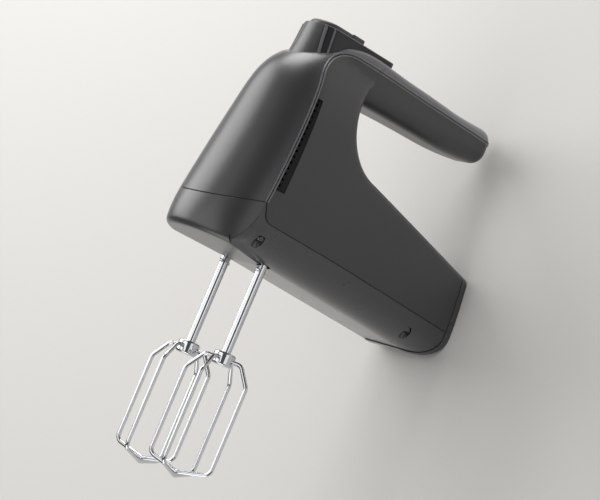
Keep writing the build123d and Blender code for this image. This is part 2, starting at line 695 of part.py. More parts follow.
motor_shaft = worm + rod(MOTOR_SHAFT_R, -frame_end_x, bracket_end_x + PART_GAP)

plate_y = axis_y + spindle_bush_r + BUSH_WALL
plate = Rectangle(2 * frame_end_x, 2 * plate_y)
plate = fillet(plate.vertices(), spindle_bush_r)
gear_frame = Pos(0, 0, frame_low_z) * extrude(plate, amount=FRAME_WALL)
gear_frame += Pos(0, 0, frame_high_z) * extrude(plate, amount=FRAME_WALL)
wall_z = (frame_low_z, frame_top_z)
gear_frame += block((-frame_end_x, -frame_x), (-3 * bush_r, 3 * bush_r), wall_z)
rear_y = bolt_y + 2 * BOLT_R
gear_frame += block((frame_x, frame_end_x), (-rear_y, rear_y), wall_z)
foot_x = frame_x - 2 * BUSH_WALL
for x in (-foot_x, foot_x):
    for y in (-axis_y / 2, axis_y / 2):
        gear_frame += post(2 * BUSH_WALL, -BELLY_Z, frame_mid_z, x, y) & body_cavity
gear_frame -= rod(bush_r, -2 * frame_end_x, 2 * frame_end_x)
for y in (-FRONT_SCREW[1], FRONT_SCREW[1]):
    gear_frame -= post(POCKET_R + WALL + PART_GAP, 0, frame_top_z, FRONT_SCREW[0], y)
shaft_bushes = []
for start, end in ((-frame_end_x, -frame_x), (frame_x, frame_end_x), (bracket_x, bracket_end_x)):
    shaft_bushes.append(rod(bush_r, start, end) - rod(MOTOR_SHAFT_R + RUN_FIT, start, end))
spindle_bushes = []
for y in (-axis_y, axis_y):
    gear_frame -= post(spindle_bush_r, -BELLY_Z, reach, 0, y)
    for low in (frame_low_z, frame_high_z):
        bush = post(spindle_bush_r, low, low + FRAME_WALL) - post(SPINDLE_R + RUN_FIT, 0, reach)
        spindle_bushes.append(Pos(0, y, 0) * bush)

# Motor
window = (STATOR_WIDTH - 2 * YOKE, STATOR_HEIGHT - 2 * YOKE)
core = RectangleRounded(STATOR_WIDTH, STATOR_HEIGHT, YOKE) - RectangleRounded(*window, YOKE / 2)
core += Rectangle(POLE_WIDTH, STATOR_HEIGHT - YOKE)
core += Circle(bore_r + POLE_SHOE) & Rectangle(2 * POLE_WIDTH, STATOR_HEIGHT)
core -= Circle(bore_r)
for y in (-bolt_y, bolt_y):
    core -= Pos(y, 0) * Circle(BOLT_R)
along = Plane((0, 0, MOTOR_Z), x_dir=(0, 1, 0), z_dir=(1, 0, 0))
stator_core = Pos(stack_x, 0, 0) * extrude(along * core, amount=STACK_LENGTH)
coil = Rectangle(STACK_LENGTH + 2 * COIL_WIDTH, POLE_WIDTH + 2 * COIL_WIDTH)
coil = fillet(coil.vertices(), COIL_WIDTH) - Rectangle(STACK_LENGTH, POLE_WIDTH)
coil_z = STATOR_HEIGHT / 2 - YOKE - COIL_HEIGHT
field_coils = []
for z in (MOTOR_Z + coil_z, MOTOR_Z - coil_z - COIL_HEIGHT):
    field_coils.append(Pos(stack_x + STACK_LENGTH / 2, 0, z) * extrude(coil, amount=COIL_HEIGHT))
slot_depth = ARMATURE_R / 2
armature = Circle(ARMATURE_R) - Circle(MOTOR_SHAFT_R)
slots = Sketch()
for count in range(ARMATURE_SLOTS):
    turn = Rot(0, 0, 360 * count / ARMATURE_SLOTS)
    slots += turn * Pos(ARMATURE_R, 0) * Rectangle(2 * slot_depth, BOLT_R)
armature_core = Pos(stack_x, 0, 0) * extrude(along * (armature - slots), amount=STACK_LENGTH)
fill = slots & Circle(ARMATURE_R - BUSH_WALL)
armature_coils = Pos(stack_x, 0, 0) * extrude(along * fill, amount=STACK_LENGTH)
ends = Circle(ARMATURE_R - BUSH_WALL) - Circle(ARMATURE_R - slot_depth)
for start in (stack_x - COIL_WIDTH, stack_end_x):
    armature_coils += Pos(start, 0, 0) * extrude(along * ends, amount=COIL_WIDTH)
commutator = rod(COMMUTATOR_R, commutator_x, commutator_x + COMMUTATOR_LENGTH)
commutator -= rod(MOTOR_SHAFT_R, 0, reach)
fan_hub = Circle(2 * MOTOR_SHAFT_R) - Circle(MOTOR_SHAFT_R)
fan = Pos(fan_x, 0, 0) * extrude(along * fan_hub, amount=FAN_LENGTH)
fan += Pos(fan_x, 0, 0) * extrude(along * (Circle(FAN_R) - Circle(MOTOR_SHAFT_R)), amount=BOLT_R)
for count in range(FAN_BLADES):
    blade = RadiusArc((2 * MOTOR_SHAFT_R - PART_GAP, 0), (FAN_R, 0), FAN_R)
    blade = Rot(0, 0, 360 * count / FAN_BLADES) * trace(blade, BOLT_R)
    fan += Pos(fan_x, 0, 0) * extrude(along * (blade & Circle(FAN_R)), amount=FAN_LENGTH)
bracket = Circle(2 * bush_r) + Rectangle(2 * bolt_y, 2 * bush_r)
for y in (-bolt_y, bolt_y):
    bracket += Pos(y, 0) * Circle(3 * BOLT_R)
    bracket -= Pos(y, 0) * Circle(BOLT_R)
motor_bracket = Pos(bracket_x, 0, 0) * extrude(along * (bracket - Circle(bush_r)), amount=FRAME_WALL)
motor_bolts = []
for y in (-bolt_y, bolt_y):
    head = rod(2 * BOLT_R, bracket_end_x, bracket_end_x + BOLT_R, y)
    motor_bolts.append(head + rod(BOLT_R, frame_x, bracket_end_x, y))
    gear_frame -= rod(BOLT_R, frame_x, frame_end_x, y)
brush_limits = ((brush_x - BRUSH_WIDTH / 2, brush_x + BRUSH_WIDTH / 2),
                (MOTOR_Z - BRUSH_HEIGHT / 2, MOTOR_Z + BRUSH_HEIGHT / 2))
case_limits = [(low - BRUSH_CASE, high + BRUSH_CASE) for low, high in brush_limits]
case_low_y = COMMUTATOR_R + 2 * PART_GAP
brush = block(brush_limits[0], (0, COMMUTATOR_R + BRUSH_LENGTH), brush_limits[1])
brush -= rod(COMMUTATOR_R + RUN_FIT, 0, reach)
holder = block(case_limits[0], (case_low_y, holder_y + BRUSH_CASE), case_limits[1])
holder -= block(brush_limits[0], (0, holder_y), brush_limits[1])
holder += block((case_limits[0][1], bracket_x), (case_low_y, holder_y), case_limits[1])
carbon_brushes = [brush, mirrored(brush)]
brush_holders = [holder, mirrored(holder)]
brush_spring = Pos(brush_x, COMMUTATOR_R + BRUSH_LENGTH, MOTOR_Z) * Rot(-90, 0, 0)
brush_spring *= spring(SPRING_LENGTH, BRUSH_HEIGHT / 3, SPRING_WIRE_R / 2, SPRING_TURNS)
brush_springs = [brush_spring, mirrored(brush_spring)]

# Beaters


def wire_loop(bottom):
    """One bent wire in the plane y = 0, from hub to hub around the bottom."""
    start = HUB_R / 2
    corner_z = -bottom + CAGE_DISH
    side = [(start, -HUB_DEPTH), (SHOULDER_R, -HUB_DEPTH), (CAGE_R, -HUB_DEPTH - SHOULDER_DROP),
            (CAGE_R, corner_z)]
    points = side + [(0, -bottom)] + [(-x, z) for x, z in reversed(side)]
    path = Plane.XZ * FilletPolyline(*points, radius=BEND_R)
    return sweep(Plane(path @ 0, z_dir=path % 0) * Circle(WIRE_R), path=path)


outer_loop = wire_loop(CAGE_BOTTOM)
inner_loop = Rot(0, 0, 90) * wire_loop(CAGE_BOTTOM - 2 * WIRE_R)
hub = post(HUB_R, -HUB_DEPTH - HUB_HEIGHT / 2, -HUB_DEPTH + HUB_HEIGHT / 2)
hub = fillet(hub.edges(), HUB_HEIGHT / 6)
beater_shaft = post(SHAFT_R, -HUB_DEPTH, SHAFT_INSERT)
beater_shaft = chamfer(beater_shaft.faces().sort_by(Axis.Z)[-1].edges(), SHAFT_R / 4)
hub = hub - beater_shaft - outer_loop - inner_loop
ear = block((-EAR_SPAN / 2, EAR_SPAN / 2), (-EAR_THICK / 2, EAR_THICK / 2),
            (-EAR_DEPTH - EAR_THICK / 2, -EAR_DEPTH + EAR_THICK / 2))
ear = fillet(ear.edges().filter_by(Axis.Y), EAR_THICK / 3)
key = block((-key_reach, key_reach), (-KEY_WIDTH / 2, KEY_WIDTH / 2), (key_low, key_high))
beater_shaft += ear + key

parts = {
    "nose_shell": nose_shell,
    "nose_cap": nose_cap,
    "base_shell": base_shell,
    "heel_cap": heel_cap,
    "left_housing": left_housing,
    "right_housing": mirrored(left_housing),
    "left_handle": left_handle,
    "right_handle": mirrored(left_handle),
    "handle_top_cover": handle_top_cover,
    "control_console": control_console,
    "left_vent": left_vent,
    "right_vent": mirrored(left_vent),
    "cord_inlet": cord_inlet,
    "case_screws": Compound(case_screws),
    "eject_button": eject_button,
    "eject_yoke": eject_yoke,
    "eject_spring": eject_spring,
    "speed_slider": speed_slider,
    "speed_switch": speed_switch,
    "gear_frame": gear_frame,
    "shaft_bushes": Compound(shaft_bushes),
    "spindle_bushes": Compound(spindle_bushes),
    "motor_shaft": motor_shaft,
    "stator_core": stator_core,
    "field_coils": Compound(field_coils),
    "armature_core": armature_core,
    "armature_coils": armature_coils,
    "commutator": commutator,
    "fan": fan,
    "motor_bracket": motor_bracket,
    "motor_bolts": Compound(motor_bolts),
    "carbon_brushes": Compound(carbon_brushes),
    "brush_holders": Compound(brush_holders),
    "brush_springs": Compound(brush_springs),
}
for side, sign, turn in (("left", -1, LEFT_TURN), ("right", 1, RIGHT_TURN)):
    axis = Pos(0, sign * axis_y, 0)
    beater = axis * Rot(0, 0, turn)
    parts[f"{side}_gear"] = axis * gear
    parts[f"{side}_spindle"] = beater * spindle
    parts[f"{side}_push_pin"] = axis * push_pin
    parts[f"{side}_beater_shaft"] = beater * beater_shaft
    parts[f"{side}_beater_hub"] = beater * hub
    parts[f"{side}_outer_loop"] = beater * outer_loop
    parts[f"{side}_inner_loop"] = beater * inner_loop

# Stand the mixer on its heel and write one file for each piece
stand = Pos(-heel_middle_z, 0, HEEL_X) * Rot(0, 90, 0)
os.makedirs("parts", exist_ok=True)
for name, part in parts.items():
    export_step(stand * part, f"parts/{name}.step")
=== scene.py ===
"""Looks of a hand mixer that stands on its heel, laid out as an add-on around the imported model."""
import json
from math import radians, sin, tan

import bmesh
import bpy
from bpy.props import FloatProperty, FloatVectorProperty, PointerProperty
from mathutils import Matrix, Vector

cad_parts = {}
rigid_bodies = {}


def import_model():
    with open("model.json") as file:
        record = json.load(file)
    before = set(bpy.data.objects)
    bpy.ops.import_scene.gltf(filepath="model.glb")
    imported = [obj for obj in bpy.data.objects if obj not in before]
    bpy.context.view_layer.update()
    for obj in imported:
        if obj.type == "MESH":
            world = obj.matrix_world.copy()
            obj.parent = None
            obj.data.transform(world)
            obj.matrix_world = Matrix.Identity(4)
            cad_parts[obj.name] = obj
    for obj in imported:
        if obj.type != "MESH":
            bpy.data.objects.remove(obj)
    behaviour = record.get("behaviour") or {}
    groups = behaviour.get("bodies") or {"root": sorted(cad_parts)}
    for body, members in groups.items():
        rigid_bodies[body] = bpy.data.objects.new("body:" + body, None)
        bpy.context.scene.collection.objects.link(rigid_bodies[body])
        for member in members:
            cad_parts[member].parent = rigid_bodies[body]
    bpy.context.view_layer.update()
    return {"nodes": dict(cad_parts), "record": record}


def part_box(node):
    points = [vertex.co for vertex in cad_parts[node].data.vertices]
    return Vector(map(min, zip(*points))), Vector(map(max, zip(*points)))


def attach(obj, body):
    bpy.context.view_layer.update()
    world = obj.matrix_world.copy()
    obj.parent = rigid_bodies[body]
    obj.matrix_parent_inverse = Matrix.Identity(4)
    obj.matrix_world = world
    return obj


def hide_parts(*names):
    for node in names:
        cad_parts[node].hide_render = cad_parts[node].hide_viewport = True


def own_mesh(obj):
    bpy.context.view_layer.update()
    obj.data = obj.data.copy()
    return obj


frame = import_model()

bl_info = {
    "name": "Hand mixer",
    "version": (1, 0, 0),
    "blender": (4, 5, 0),
    "location": "3D View > Sidebar > Mixer",
    "description": "Dresses the packed hand mixer and sets its studio",
    "category": "Object",
}

MM = 0.001
FRAME_WIDTH_PX = 600          # width of the picture
FOCAL_PX = 2333.5             # focal length in the same pixels
SENSOR_MM = 36.0

# The drawing's side view: millimetres behind the beaters and above the base
HEEL_X = 150.5                # beater plane to the heel face
STAND_Z = 32.3512             # middle of the heel face above the base
GROOVE = (Vector((-29.5, 34.0)), Vector((-16.5, 145.4)), Vector((167.0, 142.2)))
GROOVE_BEND_R = 26.0
GROOVE_WIDTH = 1.5
CONSOLE_TOP = 154.5
RIDGES = (-21.5, -16.7)       # front edges of the two ridges on the console
RIDGE_WIDTH = 1.2

# How far a corner may lie from such a line and still belong to it
GROOVE_TOLERANCE = 0.15
RIM_TOLERANCE = 0.05
RIDGE_TOLERANCE = 0.1
JOINT_TOLERANCE = 0.01

# Least share of a face's normal that points outwards, at the console's rim and on its ridges
RIM_OUTWARD = 0.1
RIDGE_OUTWARD = 0.6

# Angles in degrees: up to which each kind of piece is shaded smooth, and from which an edge gets a lip
MOULDING_ANGLE = 32
LOUVRE_ANGLE = 25
WIRE_ANGLE = 40
SCREW_ANGLE = 40
RIB_ANGLE = 40
BLEND_ANGLE = 50
BEAD_ANGLE = 60
LIP_EDGE_ANGLE = 40
BEAD_ROUNDNESS = 2            # steps in a quarter of a lip's section

# Blend of the base's round edge into the nose cap's corner. Side: place on the cap's rear edge
# and the height where it runs out on the base. Floor: plan place there and on the base.
BLEND_SIDE = ((-31.0, 24.0, 24.0), (-32.2, 20.0, 20.0), (-33.7, 16.0, 16.5), (-35.6, 12.0, 13.2),
              (-37.3, 9.0, 10.8), (-39.2, 6.0, 8.8), (-40.3, 4.4, 7.8))
BLEND_SIDE_X = -25.8
BLEND_FLOOR = ((-38.0, 31.4, -24.8, 30.6), (-33.0, 29.8, -20.5, 28.8), (-27.0, 27.9, -15.5, 27.0),
               (-20.0, 25.6, -10.0, 25.0), (-11.0, 22.7, -5.5, 22.6))
BLEND_STEPS = 8
BLEND_SEAM = 0.35             # gap left between the blend and the cap
BLEND_SINK = 0.08             # depth at which its borders lie under the surface

# Case screws: places of their heads' seats behind the beaters, to the side and above the base
SCREWS = ((-21.7, 34.6, 14.10), (116.8, 31.8, 7.08))
SCREW_HEAD_R = 2.7
SCREW_HEAD_DEPTH = 3.0
SCREW_SHANK_R = 1.5
SCREW_LENGTH = 12.0
SCREW_CROSS = (0.8, 3.4, 1.5)  # width, span and depth of the cross in the head
SCREW_DOME = 0.35             # share of the head's radius that is rounded
SCREW_DOME_STEPS = 4
SCREW_HEAD_SIDES = 40
SCREW_SHANK_SIDES = 24

# Grip grooves across the slider: places behind the beaters, width and depth
GRIPS = (7.3, 9.4, 11.6, 13.7)
GRIP_WIDTH = 0.8
GRIP_DEPTH = 0.7

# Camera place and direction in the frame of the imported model, in metres
CAMERA_PLACE = Vector((-0.1873, -1.1685, 1.0056))
CAMERA_FORWARD = Vector((0.1204, 0.7892, -0.6023)).normalized()
CAMERA_UP = Vector((0.9151, 0.1471, 0.3756)).normalized()
CAMERA_REACH = 20
FLOOR_SIZE = 30

# Soft boxes: name, place, size and power in watts
LAMPS = (
    ("key_box", (0.40, 1.00, 1.00), 1.1, 13.0),
    ("overhead_box", (-0.20, -0.20, 1.70), 1.4, 8.0),
    ("side_box", (0.10, -1.50, 0.25), 1.0, 3.0),
    ("base_box", (-1.20, -0.10, 0.30), 1.0, 6.0),
    ("top_box", (1.15, 0.35, 0.45), 0.8, 11.0),
)
LAMP_TARGET = Vector((0.03, 0, 0.11))
WORLD_COLOUR = "e8e8ea"
WORLD_STRENGTH = 0.12

# Patterns of the finishes, with their sizes in millimetres
FLOW_SIZE = 38.0              # flow shading in a moulding
HANDLED_SIZE = 17.0           # patches polished by handling
GRAIN_DEPTH = 0.05
SCRATCH_DEPTH = 0.01
FIBRE_SIZE = 2.0
ABS_IOR = 1.53
BAND_SCALE = 0.05             # draws bands about six times as wide as their real pitch
COAT_ROUGHNESS = 0.34
TINT_SPREAD = 0.10            # share by which a moulding's colour varies each way
GLOSS_SPREAD = 0.02           # by which its roughness varies each way
METAL_SPREAD = 0.4            # share by which a metal's roughness varies each way
PAPER_SPREAD = 0.015

# Sockets of the colour mix
MIX_FIRST, MIX_SECOND, MIX_RESULT = 6, 7, 2


def linear(code):
    """Linear colour of an sRGB hex value."""
    shares = [int(code[i:i + 2], 16) / 255 for i in (0, 2, 4)]
    return [s / 12.92 if s <= 0.04045 else ((s + 0.055) / 1.055) ** 2.4 for s in shares]


def colour(name, code, text):
    """A colour setting with an sRGB hex default."""
    return FloatVectorProperty(
        name=name, description=text, default=linear(code), subtype="COLOR", min=0, max=1
    )


def length(name, size, text):
    """A length setting, with its default in millimetres."""
    return FloatProperty(name=name, description=text, default=size * MM, unit="LENGTH", min=0)


class MixerColours(bpy.types.PropertyGroup):
    """Colours of the mixer's mouldings and metals."""

    shell: colour("Side shells", "3a3a3c", "Charcoal ABS of the side shells and the handle")
    nose: colour("Nose", "38383a", "Charcoal ABS of the nose shell and the nose cap")
    base: colour("Base", "3a3a3c", "Glossier ABS of the base and the heel")
    # Painted highlight: this light grey stands for the light caught by the top cover, the lips and the
    # ridge strips
    trim: colour("Top cover", "77777b", "Lighter ABS of the cover along the handle")
    controls: colour("Console", "29292b", "Fine textured ABS of the console")
    keys: colour("Keys", "444447", "Satin ABS of the button and the slider")
    vent: colour("Vents", "141416", "Matt ABS of the louvres")
    grommet: colour("Grommet", "18181a", "Rubber of the cord inlet")
    chrome: colour("Beaters", "d6d8db", "Chromed steel wire")
    floor: colour("Floor", "dcdad6", "Paper that the mixer stands on")


class MixerSizes(bpy.types.PropertyGroup):
    """Sizes of the details that are finished here."""

    edge: length("Edge radius", 0.35, "Softening of moulded edges")
    grain: length("Grain", 0.9, "Size of the moulded grain")
    lip: length("Lip radius", 0.60, "Rolled lips along the groove in front of the side shells")
    rib: length("Rib rise", 0.35, "Rise of the strips on the console's ridges")
    web: length("Blend wall", 0.9, "Wall of the blends beside the nose cap")
    rim: length("Rim radius", 0.30, "Rolled rim of the console's top")
    merge: length("Merge", 0.002, "Distance at which loose corners are joined")


# Materials


def add(tree, kind, settings=None, **inputs):
    """Add one node, set its properties and inputs, and link inputs given as sockets."""
    node = tree.nodes.new(kind)
    for name, value in (settings or {}).items():
        setattr(node, name, value)
    for name, value in inputs.items():
        socket = node.inputs[name.replace("_", " ")]
        if isinstance(value, bpy.types.NodeSocket):
            tree.links.new(value, socket)
        else:
            socket.default_value = value
    return node


def blank(name):
    """A new material with an empty node tree, its output and object coordinates."""
    material = bpy.data.materials.new(name)
    material.use_nodes = True
    tree = material.node_tree
    tree.nodes.clear()
    place = add(tree, "ShaderNodeTexCoord").outputs["Object"]
    return material, tree, place


def rgba(value):
    """A colour with full opacity."""
    return (*value, 1.0)


def shade(value, factor):
    """The same colour, darker or lighter."""
    return (*[min(1.0, v * factor) for v in value], 1.0)


def per_size(size):
    """Pattern scale that repeats about once in a size given in metres."""
    return 1.0 / size


def moulded(name, tone, roughness, grain, coat=0.0):
    """Injection-moulded ABS: an even body colour with slight flow shading, a fine spark-eroded
    grain that breaks up the highlight, and patches where handling has polished it."""
    sizes = bpy.context.scene.mixer_sizes
    material, tree, place = blank(name)
    flow = add(tree, "ShaderNodeTexNoise", Vector=place, Scale=per_size(FLOW_SIZE * MM), Detail=3.0)
    tint = add(tree, "ShaderNodeMix", {"data_type": "RGBA"}, Factor=flow.outputs["Fac"])
    tint.inputs[MIX_FIRST].default_value = shade(tone, 1 - TINT_SPREAD)
    tint.inputs[MIX_SECOND].default_value = shade(tone, 1 + TINT_SPREAD)
    handled = add(
        tree, "ShaderNodeTexNoise", Vector=place, Scale=per_size(HANDLED_SIZE * MM), Detail=4.0
    )
    gloss = add(tree, "ShaderNodeMapRange", Value=handled.outputs["Fac"])
    gloss.inputs["To Min"].default_value = roughness - GLOSS_SPREAD
    gloss.inputs["To Max"].default_value = roughness + GLOSS_SPREAD
    # The real grain is near 0.15 mm and too fine for the picture, so it is drawn coarser
    spark = add(tree, "ShaderNodeTexNoise", Vector=place, Scale=per_size(sizes.grain), Detail=2.0)
    edge = add(tree, "ShaderNodeBevel", {"samples": 6}, Radius=sizes.edge)
    bump = add(tree, "ShaderNodeBump", Height=spark.outputs["Fac"], Normal=edge.outputs["Normal"])
    bump.inputs["Strength"].default_value = grain
    bump.inputs["Distance"].default_value = GRAIN_DEPTH * MM
    surface = add(
        tree, "ShaderNodeBsdfPrincipled", Base_Color=tint.outputs[MIX_RESULT],
        Roughness=gloss.outputs["Result"], Normal=bump.outputs["Normal"],
    )
    surface.inputs["IOR"].default_value = ABS_IOR
    surface.inputs["Coat Weight"].default_value = coat
    surface.inputs["Coat Roughness"].default_value = COAT_ROUGHNESS
    add(tree, "ShaderNodeOutputMaterial", Surface=surface.outputs["BSDF"])
    return material


def metal(name, tone, roughness, scratch, along=(1, 1, 1)):
    """Bare or plated metal: mirror-like, with fine drawn lines that stretch its highlights."""
    material, tree, place = blank(name)
    turned = add(tree, "ShaderNodeMapping", Vector=place, Scale=along)
    lines = add(
        tree, "ShaderNodeTexNoise", Vector=turned.outputs["Vector"], Scale=per_size(scratch)
    )
    gloss = add(tree, "ShaderNodeMapRange", Value=lines.outputs["Fac"])
    gloss.inputs["To Min"].default_value = roughness * (1 - METAL_SPREAD)
    gloss.inputs["To Max"].default_value = roughness * (1 + METAL_SPREAD)
    bump = add(tree, "ShaderNodeBump", Height=lines.outputs["Fac"])
    bump.inputs["Strength"].default_value = 0.12
    bump.inputs["Distance"].default_value = SCRATCH_DEPTH * MM
    surface = add(
        tree, "ShaderNodeBsdfPrincipled", Roughness=gloss.outputs["Result"],
        Normal=bump.outputs["Normal"],
    )
    surface.inputs["Base Color"].default_value = rgba(tone)
    surface.inputs["Metallic"].default_value = 1.0
    add(tree, "ShaderNodeOutputMaterial", Surface=surface.outputs["BSDF"])
    return material


def banded(name, first, second, pitch, roughness, metallic=0.0):
    """Laid-up material: thin bands side by side, as in stacked laminations or wound wire."""
    material, tree, place = blank(name)
    # The real pitch is too fine to show, so the bands are drawn wider
    bands = add(tree, "ShaderNodeTexWave", {"bands_direction": "Z"}, Vector=place)
    bands.inputs["Scale"].default_value = BAND_SCALE * per_size(pitch)
    tint = add(tree, "ShaderNodeMix", {"data_type": "RGBA"}, Factor=bands.outputs["Fac"])
    tint.inputs[MIX_FIRST].default_value = rgba(first)
    tint.inputs[MIX_SECOND].default_value = rgba(second)
    bump = add(tree, "ShaderNodeBump", Height=bands.outputs["Fac"])
    bump.inputs["Strength"].default_value = 0.5
    bump.inputs["Distance"].default_value = 0.2 * pitch
    surface = add(
        tree, "ShaderNodeBsdfPrincipled", Base_Color=tint.outputs[MIX_RESULT],
        Normal=bump.outputs["Normal"],
    )
    surface.inputs["Roughness"].default_value = roughness
    surface.inputs["Metallic"].default_value = metallic
    add(tree, "ShaderNodeOutputMaterial", Surface=surface.outputs["BSDF"])
    return material


def paper(name, tone):
    """Studio paper: matt, pale and even, with a trace of fibre."""
    material, tree, place = blank(name)
    fibre = add(
        tree, "ShaderNodeTexNoise", Vector=place, Scale=per_size(FIBRE_SIZE * MM), Detail=3.0
    )
    tint = add(tree, "ShaderNodeMix", {"data_type": "RGBA"}, Factor=fibre.outputs["Fac"])
    tint.inputs[MIX_FIRST].default_value = shade(tone, 1 - PAPER_SPREAD)
    tint.inputs[MIX_SECOND].default_value = shade(tone, 1 + PAPER_SPREAD)
    surface = add(tree, "ShaderNodeBsdfPrincipled", Base_Color=tint.outputs[MIX_RESULT])
    surface.inputs["Roughness"].default_value = 0.9
    surface.inputs["Specular IOR Level"].default_value = 0.2
    add(tree, "ShaderNodeOutputMaterial", Surface=surface.outputs["BSDF"])
    return material


def slot_material(slot):
    """The finish of one material slot, made once."""
    tones = bpy.context.scene.mixer_colours
    finishes = {
        # Mouldings that are seen: a gloss coat over the grain draws a long soft highlight
        "housing": ("moulded ABS satin charcoal", moulded,
                    dict(tone=tones.shell, roughness=0.38, grain=0.22, coat=0.3)),
        "nose": ("moulded ABS semi-gloss charcoal", moulded,
                 dict(tone=tones.nose, roughness=0.40, grain=0.14, coat=0.7)),
        "base": ("moulded ABS gloss charcoal", moulded,
                 dict(tone=tones.base, roughness=0.28, grain=0.08, coat=0.7)),
        # Trim: a light grey that paints the highlight on the top cover, the groove lips, the console's
        # rim and ridges
        "trim": ("moulded ABS satin grey", moulded,
                 dict(tone=tones.trim, roughness=0.28, grain=0.10, coat=0.2)),
        "keys": ("moulded ABS satin graphite", moulded,
                 dict(tone=tones.keys, roughness=0.40, grain=0.25, coat=0.3)),
        # Textured and matt mouldings: no clear highlight, so they stay dark
        "controls": ("moulded ABS fine texture", moulded,
                     dict(tone=tones.controls, roughness=0.46, grain=0.40)),
        "vents": ("moulded ABS matt black", moulded,
                  dict(tone=tones.vent, roughness=0.62, grain=0.30)),
        "grommet": ("moulded rubber", moulded,
                    dict(tone=tones.grommet, roughness=0.70, grain=0.50)),
        # Mouldings inside: a rough frame, waxy gears and sooty brushes
        "frame": ("glass-filled nylon", moulded,
                  dict(tone=linear("2a2a2c"), roughness=0.55, grain=0.4)),
        "gear": ("moulded acetal", moulded,
                 dict(tone=linear("e4e0d4"), roughness=0.40, grain=0.1)),
        "carbon": ("pressed carbon", moulded,
                   dict(tone=linear("1c1c1e"), roughness=0.65, grain=0.6)),
        # Metals: fine lines run along the wires and along the motor's shaft
        "wire": ("chromed steel wire", metal,
                 dict(tone=tones.chrome, roughness=0.09, scratch=1.2 * MM, along=(0.15, 1, 1))),
        "shaft": ("ground steel", metal,
                  dict(tone=linear("b4b5b8"), roughness=0.22, scratch=0.6 * MM, along=(1, 1, 0.1))),
        # Its dark tone is partly the plated steel's own and partly painted shade for the screws in the
        # base's pockets
        "fastener": ("zinc plated steel", metal,
                     dict(tone=linear("5c5c5f"), roughness=0.32, scratch=0.4 * MM)),
        "bearing": ("sintered bronze", metal,
                    dict(tone=linear("b08d4c"), roughness=0.35, scratch=0.5 * MM)),
        # Laid-up metals: fine bands of sheet or wire
        "lamination": ("stacked lamination steel", banded,
                       dict(first=linear("3a3b3e"), second=linear("6e7074"), pitch=0.5 * MM,
                            roughness=0.5, metallic=0.8)),
        "copper": ("enamelled copper winding", banded,
                   dict(first=linear("7a3d1c"), second=linear("c8743c"), pitch=0.6 * MM,
                        roughness=0.32, metallic=0.9)),
    }
    title, maker, settings = finishes[slot]
    return bpy.data.materials.get(title) or maker(title, **settings)


# Modelling helpers


def only(piece):
    """Select one object alone and make it active."""
    bpy.ops.object.select_all(action="DESELECT")
    piece.select_set(True)
    bpy.context.view_layer.objects.active = piece


def drawn(point):
    """Side-view place of a point in the drawing."""
    return Vector((HEEL_X - point.z / MM, point.x / MM + STAND_Z))


def from_groove(spot):
    """Distance of a side-view place from the middle of the groove in front of the side shells."""
    foot, corner, end = GROOVE
    down = (foot - corner).normalized()
    along = (end - corner).normalized()
    half_angle = down.angle(along) / 2
    reach = GROOVE_BEND_R / tan(half_angle)
    arm = spot - corner
    if arm.dot(down) > reach:
        return abs(down.cross(arm))
    if arm.dot(along) > reach:
        return abs(along.cross(arm))
    middle = corner + (down + along).normalized() * GROOVE_BEND_R / sin(half_angle)
    return abs((spot - middle).length - GROOVE_BEND_R)


def finish_as(piece, slot):
    """Give a piece the finish of one material slot."""
    piece.data.materials.clear()
    piece.data.materials.append(slot_material(slot))


def place_piece(piece, body, slot, *nodes):
    """Let a finished piece ride on its body, in place of some nodes."""
    finish_as(piece, slot)
    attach(piece, body)
    if nodes:
        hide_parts(*nodes)


def merged(name, *nodes):
    """One piece from the meshes of some nodes, with their loose corners joined."""
    copies = []
    for node in nodes:
        copy = bpy.data.objects.new(name, frame["nodes"][node].data.copy())
        bpy.context.scene.collection.objects.link(copy)
        copies.append(copy)
    piece = copies[0]
    only(piece)
    if len(copies) > 1:
        for copy in copies:
            copy.select_set(True)
        bpy.ops.object.join()
    if piece.data.has_custom_normals:
        bpy.ops.mesh.customdata_custom_splitnormals_clear()
    weld(piece)
    return piece


def weld(piece):
    """Join corners of a piece that lie on each other."""
    only(piece)
    bpy.ops.object.mode_set(mode="EDIT")
    bpy.ops.mesh.select_all(action="SELECT")
    bpy.ops.mesh.remove_doubles(threshold=bpy.context.scene.mixer_sizes.merge)
    bpy.ops.object.mode_set(mode="OBJECT")


def smooth(piece, angle):
    """Shade a piece smooth, up to an angle in degrees."""
    only(piece)
    bpy.ops.object.shade_smooth_by_angle(angle=radians(angle))


def smoothed(name, angle, *nodes):
    """One piece from the merged meshes of some nodes, shaded smooth up to an angle."""
    piece = merged(name, *nodes)
    smooth(piece, angle)
    return piece


def open_joint(piece, height):
    """Delete the walls inside a piece where two of its nodes were cut at a height."""
    only(piece)
    bpy.ops.object.mode_set(mode="EDIT")
    bpy.ops.mesh.select_mode(type="FACE")
    bpy.ops.mesh.select_all(action="DESELECT")
    mesh = bmesh.from_edit_mesh(piece.data)
    for face in mesh.faces:
        face.select_set(all(abs(v.co.z - height) < JOINT_TOLERANCE * MM for v in face.verts))
    bmesh.update_edit_mesh(piece.data)
    bpy.ops.mesh.delete(type="FACE")
    bpy.ops.object.mode_set(mode="OBJECT")
    weld(piece)


def copied_out(name, piece, kind, test):
    """A new object from copies of those edges or faces of a piece that pass a test."""
    before = set(bpy.data.objects)
    only(piece)
    bpy.ops.object.mode_set(mode="EDIT")
    bpy.ops.mesh.select_mode(type=kind)
    bpy.ops.mesh.select_all(action="DESELECT")
    mesh = bmesh.from_edit_mesh(piece.data)
    for item in mesh.edges if kind == "EDGE" else mesh.faces:
        if test(item):
            item.select_set(True)
    bmesh.update_edit_mesh(piece.data)
    bpy.ops.mesh.duplicate()
    bpy.ops.mesh.separate(type="SELECTED")
    bpy.ops.object.mode_set(mode="OBJECT")
    copy = (set(bpy.data.objects) - before).pop()
    copy.name = name
    only(copy)
    return copy


def is_sharp(edge):
    """Whether two faces meet at an edge and turn outwards there."""
    return len(edge.link_faces) == 2 and edge.calc_face_angle_signed() > radians(LIP_EDGE_ANGLE)


